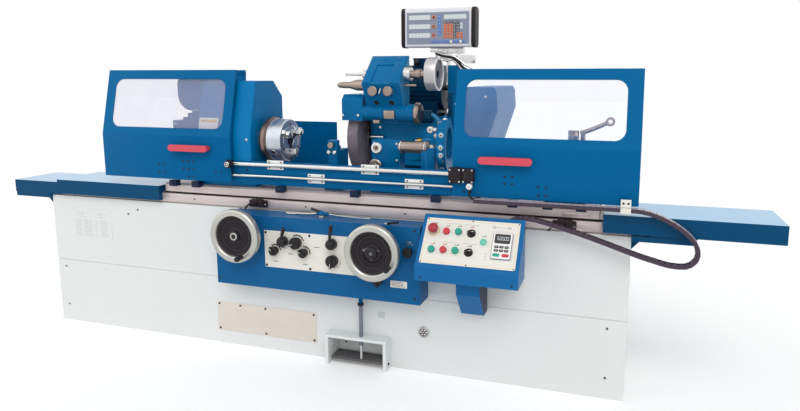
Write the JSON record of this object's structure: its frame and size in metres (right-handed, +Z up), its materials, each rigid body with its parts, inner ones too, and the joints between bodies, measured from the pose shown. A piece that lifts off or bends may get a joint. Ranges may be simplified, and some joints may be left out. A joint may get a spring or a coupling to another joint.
{
  "type": "cylindrical grinding machine",
  "caption": "Cylindrical grinding machine: sliding swivel work table with chuck and tailstock, grinding wheel behind, sliding splash doors, handwheels and control desk.",
  "frame": {"origin": "centre of the bed's base, on the floor", "axes": "+X along the bed to the operator's right, +Y away from the operator to the wheelhead, +Z up"},
  "size_m": [3.668, 1.5283, 1.612],
  "materials": {
    "white_paint": "smooth satin paint",
    "blue_paint": "satin paint",
    "sky_paint": "satin paint",
    "ground_steel": "ground",
    "chrome": "bright",
    "dark_iron": "matte",
    "black_plastic": "moulded",
    "red_plastic": "moulded",
    "green_plastic": "moulded",
    "clear_pane": "clear",
    "abrasive": "gritty",
    "chain_plastic": "moulded links"
  },
  "bodies": {
    "machine_base": {"bed": "white_paint", "rear_base": "white_paint", "left_way_tray": "blue_paint", "right_way_tray": "blue_paint", "table_cylinder": "ground_steel", "apron_housing": "sky_paint", "desk": "sky_paint", "pedal_hood": "white_paint", "energy_chain": "chain_plastic"},
    "work_table": {"lower_table": "ground_steel", "left_way_cover": "blue_paint", "right_way_cover": "blue_paint", "table_piston_rod": "chrome"},
    "left_trip_dog": {"left_trip_dog": "dark_iron"},
    "right_trip_dog": {"right_trip_dog": "dark_iron"},
    "swivel_table": {"swivel_table": "ground_steel", "guard_strip": "blue_paint", "workhead_body": "blue_paint", "workhead_motor_cover": "blue_paint", "tailstock_body": "blue_paint", "open_steady": "dark_iron", "ring_steady": "dark_iron", "wheel_dresser": "sky_paint"},
    "left_door": {"left_door": "blue_paint", "left_window": "clear_pane"},
    "right_door": {"right_door": "blue_paint", "right_window": "clear_pane"},
    "chuck": {"chuck": "chrome"},
    "chuck_jaw_1": {"chuck_jaw_1": "ground_steel"},
    "chuck_jaw_2": {"chuck_jaw_2": "ground_steel"},
    "chuck_jaw_3": {"chuck_jaw_3": "ground_steel"},
    "tailstock_quill": {"tailstock_quill": "ground_steel"},
    "tailstock_lever": {"tailstock_lever": "dark_iron"},
    "wheelhead": {"wheelhead_body": "blue_paint", "wheel_guard": "blue_paint", "belt_cover": "blue_paint", "readout": "white_paint"},
    "grinding_wheel": {"grinding_wheel": "abrasive"},
    "internal_bracket": {"internal_bracket": "sky_paint"},
    "internal_spindle": {"internal_spindle": "ground_steel"},
    "left_handwheel": {"left_handwheel": "black_plastic"},
    "right_handwheel": {"right_handwheel": "black_plastic"},
    "foot_pedal": {"foot_pedal": "dark_iron"},
    "pedal_rod": {"pedal_rod": "black_plastic"},
    "table_reverse_lever": {"table_reverse_lever": "black_plastic"},
    "table_drive_lever": {"table_drive_lever": "black_plastic"},
    "feed_rate_knob": {"feed_rate_knob": "black_plastic"},
    "dwell_left_knob": {"dwell_left_knob": "black_plastic"},
    "dwell_right_knob": {"dwell_right_knob": "black_plastic"},
    "table_speed_knob": {"table_speed_knob": "black_plastic"},
    "fine_feed_knob": {"fine_feed_knob": "black_plastic"},
    "coolant_knob": {"coolant_knob": "black_plastic"},
    "emergency_stop": {"emergency_stop": "red_plastic"},
    "red_button_upper": {"red_button_upper": "red_plastic"},
    "green_button_upper": {"green_button_upper": "green_plastic"},
    "green_button_left": {"green_button_left": "green_plastic"},
    "red_button_lower": {"red_button_lower": "red_plastic"},
    "green_button_lower": {"green_button_lower": "green_plastic"},
    "selector_upper": {"selector_upper": "black_plastic"},
    "selector_lower": {"selector_lower": "black_plastic"}
  },
  "joints": [
    {"name": "table_slide", "type": "slide", "parent": "machine_base", "child": "work_table", "axis": [1, 0, 0], "range_m": [-0.6, 0.15], "deforming": ["energy_chain"]},
    {"name": "table_swivel", "type": "hinge", "parent": "work_table", "child": "swivel_table", "pos_m": [0.298, -0.0875, 0.742], "axis": [0, 0, 1], "range_deg": [-3, 6]},
    {"name": "left_trip_dog_slide", "type": "slide", "parent": "work_table", "child": "left_trip_dog", "axis": [1, 0, 0], "range_m": [-0.15, 0.15]},
    {"name": "right_trip_dog_slide", "type": "slide", "parent": "work_table", "child": "right_trip_dog", "axis": [1, 0, 0], "range_m": [-0.15, 0.09]},
    {"name": "left_door_slide", "type": "slide", "parent": "swivel_table", "child": "left_door", "axis": [-1, 0, 0], "range_m": [-0.51, 0]},
    {"name": "right_door_slide", "type": "slide", "parent": "swivel_table", "child": "right_door", "axis": [1, 0, 0], "range_m": [-0.51, 0]},
    {"name": "chuck_spin", "type": "hinge", "parent": "swivel_table", "child": "chuck", "pos_m": [-0.23, -0.08, 1], "axis": [1, 0, 0], "continuous": true},
    {"name": "chuck_jaw_1_slide", "type": "slide", "parent": "chuck", "child": "chuck_jaw_1", "axis": [0, 0.866, 0.5], "range_m": [-0.008, 0.02]},
    {"name": "chuck_jaw_2_slide", "type": "slide", "parent": "chuck", "child": "chuck_jaw_2", "axis": [0, -0.866, 0.5], "range_m": [-0.008, 0.02]},
    {"name": "chuck_jaw_3_slide", "type": "slide", "parent": "chuck", "child": "chuck_jaw_3", "axis": [0, 0, -1], "range_m": [-0.008, 0.02]},
    {"name": "tailstock_quill_slide", "type": "slide", "parent": "swivel_table", "child": "tailstock_quill", "axis": [1, 0, 0], "range_m": [0, 0.03]},
    {"name": "tailstock_lever_turn", "type": "hinge", "parent": "swivel_table", "child": "tailstock_lever", "pos_m": [1.246, -0.08, 1.065], "axis": [0, 0, 1], "range_deg": [0, 45]},
    {"name": "wheelhead_slide", "type": "slide", "parent": "machine_base", "child": "wheelhead", "axis": [0, 1, 0], "range_m": [-0.01, 0.2]},
    {"name": "grinding_wheel_spin", "type": "hinge", "parent": "wheelhead", "child": "grinding_wheel", "pos_m": [0.1775, 0.205, 1], "axis": [1, 0, 0], "continuous": true},
    {"name": "internal_bracket_flip", "type": "hinge", "parent": "wheelhead", "child": "internal_bracket", "pos_m": [0.3465, 0.025, 1.13], "axis": [1, 0, 0], "range_deg": [0, 95]},
    {"name": "internal_spindle_spin", "type": "hinge", "parent": "internal_bracket", "child": "internal_spindle", "pos_m": [0.3465, 0.025, 1.308], "axis": [1, 0, 0], "continuous": true},
    {"name": "left_handwheel_spin", "type": "hinge", "parent": "machine_base", "child": "left_handwheel", "pos_m": [-0.212, -0.39, 0.602], "axis": [0, -1, 0], "continuous": true},
    {"name": "right_handwheel_spin", "type": "hinge", "parent": "machine_base", "child": "right_handwheel", "pos_m": [0.439, -0.39, 0.581], "axis": [0, -1, 0], "continuous": true},
    {"name": "table_reverse_lever_turn", "type": "hinge", "parent": "machine_base", "child": "table_reverse_lever", "pos_m": [-0.01, -0.34, 0.578], "axis": [0, -1, 0], "range_deg": [-35, 35]},
    {"name": "table_drive_lever_turn", "type": "hinge", "parent": "machine_base", "child": "table_drive_lever", "pos_m": [0.227, -0.34, 0.585], "axis": [0, -1, 0], "range_deg": [-35, 35]},
    {"name": "feed_rate_knob_turn", "type": "hinge", "parent": "machine_base", "child": "feed_rate_knob", "pos_m": [0.055, -0.33, 0.577], "axis": [0, -1, 0], "range_deg": [-135, 135]},
    {"name": "dwell_left_knob_turn", "type": "hinge", "parent": "machine_base", "child": "dwell_left_knob", "pos_m": [-0.055, -0.33, 0.533], "axis": [0, -1, 0], "range_deg": [-135, 135]},
    {"name": "dwell_right_knob_turn", "type": "hinge", "parent": "machine_base", "child": "dwell_right_knob", "pos_m": [0.091, -0.33, 0.535], "axis": [0, -1, 0], "range_deg": [-135, 135]},
    {"name": "table_speed_knob_turn", "type": "hinge", "parent": "machine_base", "child": "table_speed_knob", "pos_m": [0.23, -0.33, 0.511], "axis": [0, -1, 0], "range_deg": [-135, 135]},
    {"name": "fine_feed_knob_turn", "type": "hinge", "parent": "machine_base", "child": "fine_feed_knob", "pos_m": [0.44, -0.33, 0.444], "axis": [0, -1, 0], "range_deg": [-135, 135]},
    {"name": "coolant_knob_turn", "type": "hinge", "parent": "machine_base", "child": "coolant_knob", "pos_m": [0.575, -0.33, 0.58], "axis": [0, -1, 0], "range_deg": [-135, 135]},
    {"name": "emergency_stop_press", "type": "slide", "parent": "machine_base", "child": "emergency_stop", "axis": [0, 0.78, -0.6257], "range_m": [0, 0.004], "stiffness_N_per_m": 600, "springref_m": -0.002},
    {"name": "red_button_upper_press", "type": "slide", "parent": "machine_base", "child": "red_button_upper", "axis": [0, 0.78, -0.6257], "range_m": [0, 0.004], "stiffness_N_per_m": 600, "springref_m": -0.002},
    {"name": "green_button_upper_press", "type": "slide", "parent": "machine_base", "child": "green_button_upper", "axis": [0, 0.78, -0.6257], "range_m": [0, 0.004], "stiffness_N_per_m": 600, "springref_m": -0.002},
    {"name": "green_button_left_press", "type": "slide", "parent": "machine_base", "child": "green_button_left", "axis": [0, 0.78, -0.6257], "range_m": [0, 0.004], "stiffness_N_per_m": 600, "springref_m": -0.002},
    {"name": "red_button_lower_press", "type": "slide", "parent": "machine_base", "child": "red_button_lower", "axis": [0, 0.78, -0.6257], "range_m": [0, 0.004], "stiffness_N_per_m": 600, "springref_m": -0.002},
    {"name": "green_button_lower_press", "type": "slide", "parent": "machine_base", "child": "green_button_lower", "axis": [0, 0.78, -0.6257], "range_m": [0, 0.004], "stiffness_N_per_m": 600, "springref_m": -0.002},
    {"name": "selector_upper_turn", "type": "hinge", "parent": "machine_base", "child": "selector_upper", "pos_m": [0.8435, -0.32934, 0.67798], "axis": [0, -0.78, 0.6257], "range_deg": [-45, 45]},
    {"name": "selector_lower_turn", "type": "hinge", "parent": "machine_base", "child": "selector_lower", "pos_m": [0.8445, -0.38066, 0.61402], "axis": [0, -0.78, 0.6257], "range_deg": [-45, 45]},
    {"name": "foot_pedal_press", "type": "hinge", "parent": "machine_base", "child": "foot_pedal", "pos_m": [0.297, -0.165, 0.028], "axis": [1, 0, 0], "range_deg": [0, 12], "stiffness_Nm_per_rad": 6, "springref_deg": -17.19},
    {"name": "pedal_rod_slide", "type": "slide", "parent": "machine_base", "child": "pedal_rod", "axis": [0, 0, -1], "range_m": [0, 0.0145]}
  ],
  "couplings": [
    {"joint": "chuck_jaw_2_slide", "follows": "chuck_jaw_1_slide", "ratio": 1},
    {"joint": "chuck_jaw_3_slide", "follows": "chuck_jaw_1_slide", "ratio": 1},
    {"joint": "tailstock_lever_turn", "follows": "tailstock_quill_slide", "rad_per_m": 26.18},
    {"joint": "pedal_rod_slide", "follows": "foot_pedal_press", "m_per_rad": 0.068}
  ]
}
